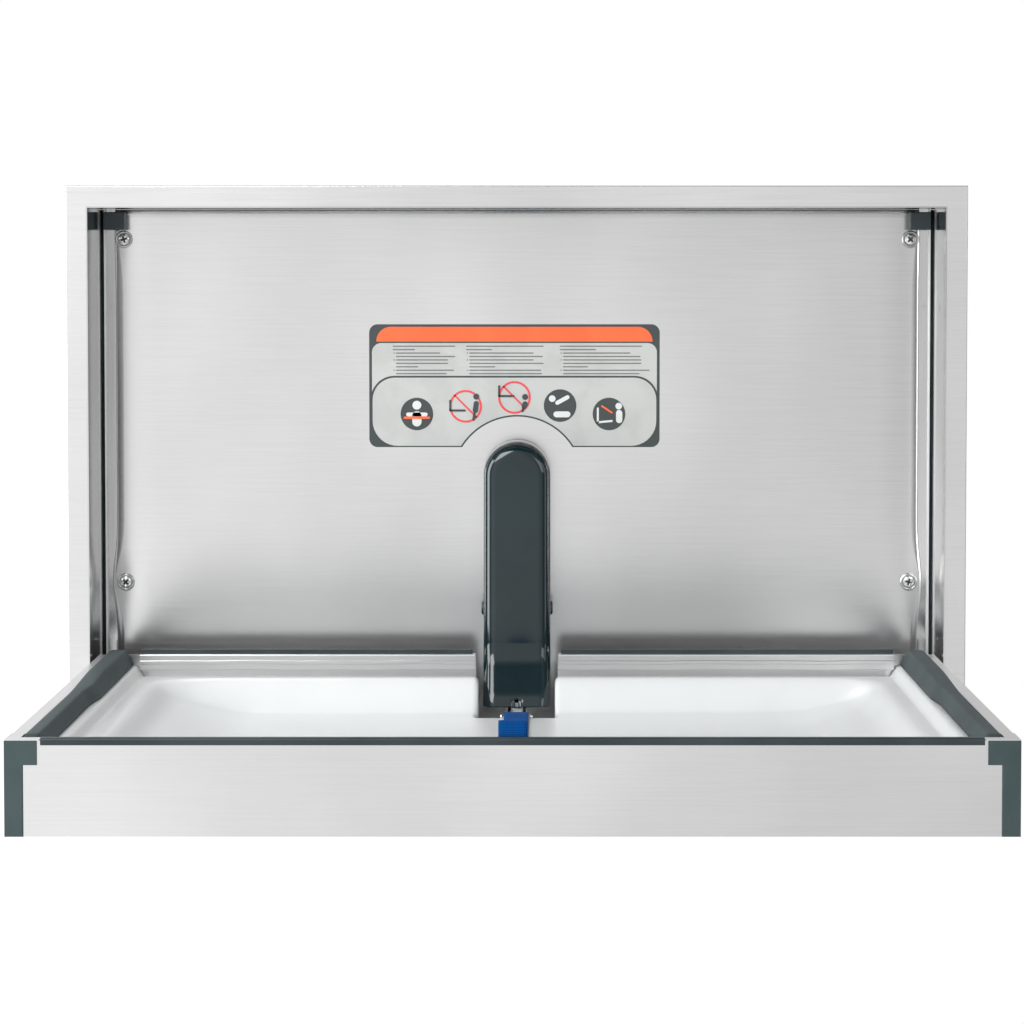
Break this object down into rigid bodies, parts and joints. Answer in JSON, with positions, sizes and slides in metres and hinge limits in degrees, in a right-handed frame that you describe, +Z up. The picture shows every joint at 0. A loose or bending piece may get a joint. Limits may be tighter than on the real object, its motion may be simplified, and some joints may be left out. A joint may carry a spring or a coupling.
{
  "type": "changing table",
  "caption": "Recessed wall-mounted steel changing table with a fold-down bed, moulded liner, gas strut under a cover and a safety strap.",
  "frame": {"origin": "middle of the lower trim strip's back face, on the wall plane", "axes": "+Y into the wall, +X along the wall to the right as seen from the room, +Z up"},
  "size_m": [0.94, 0.6374, 0.605],
  "materials": {
    "stainless_steel": "horizontal brushed grain",
    "polished_steel": "polished",
    "zinc_steel": "zinc plated",
    "dark_rubber": "matt",
    "grey_rubber": "satin",
    "dark_plastic": "glossy moulded",
    "white_plastic": "smooth moulded",
    "plate_face": "satin printed",
    "blue_webbing": "woven webbing",
    "nylon": "natural nylon",
    "black_paint": "satin"
  },
  "bodies": {
    "wall_frame": {"recess_box": "stainless_steel", "trim_flange": "stainless_steel", "back_panel": "stainless_steel", "cup_washers": "polished_steel", "wall_screws": "polished_steel", "corner_bumpers": "dark_rubber", "information_plate": "plate_face", "strut_cover": "dark_plastic", "cover_screws": "dark_plastic", "strut_bracket": "zinc_steel", "strut_pin": "zinc_steel", "hinge_pins": "zinc_steel", "retaining_rings": "zinc_steel", "rest_pads": "dark_rubber"},
    "bed": {"bed_shell": "stainless_steel", "corner_guards": "dark_plastic", "guard_screws": "dark_plastic", "rim_corner_caps": "stainless_steel", "side_rails": "grey_rubber", "bed_liner": "white_plastic", "front_edge_trim": "dark_rubber", "rear_trims": "stainless_steel", "rear_seals": "dark_rubber", "safety_strap": "blue_webbing", "strap_loop": "polished_steel", "strap_anchor": "zinc_steel", "hinge_plates": "zinc_steel", "hinge_bushes": "nylon", "bed_stiffeners": "zinc_steel", "bed_bracket": "zinc_steel", "bracket_pin": "zinc_steel"},
    "strut_body": {"strut_cylinder": "black_paint"},
    "strut_piston": {"strut_rod": "polished_steel"}
  },
  "joints": [
    {"name": "bed_fold", "type": "hinge", "parent": "wall_frame", "child": "bed", "pos_m": [0, 0.017, 0.0385], "axis": [-1, 0, 0], "range_deg": [0, 90]},
    {"name": "strut_swing", "type": "hinge", "parent": "wall_frame", "child": "strut_body", "pos_m": [0, 0.066, 0.2835], "axis": [-1, 0, 0], "range_deg": [0, 1.2]},
    {"name": "strut_stroke", "type": "slide", "parent": "strut_body", "child": "strut_piston", "axis": [0, -0.1286, -0.9917], "range_m": [0, 0.027]}
  ],
  "couplings": [
    {"joint": "strut_swing", "follows": "bed_fold", "ratio": 0.012778},
    {"joint": "strut_stroke", "follows": "bed_fold", "m_per_rad": 0.01703}
  ]
}
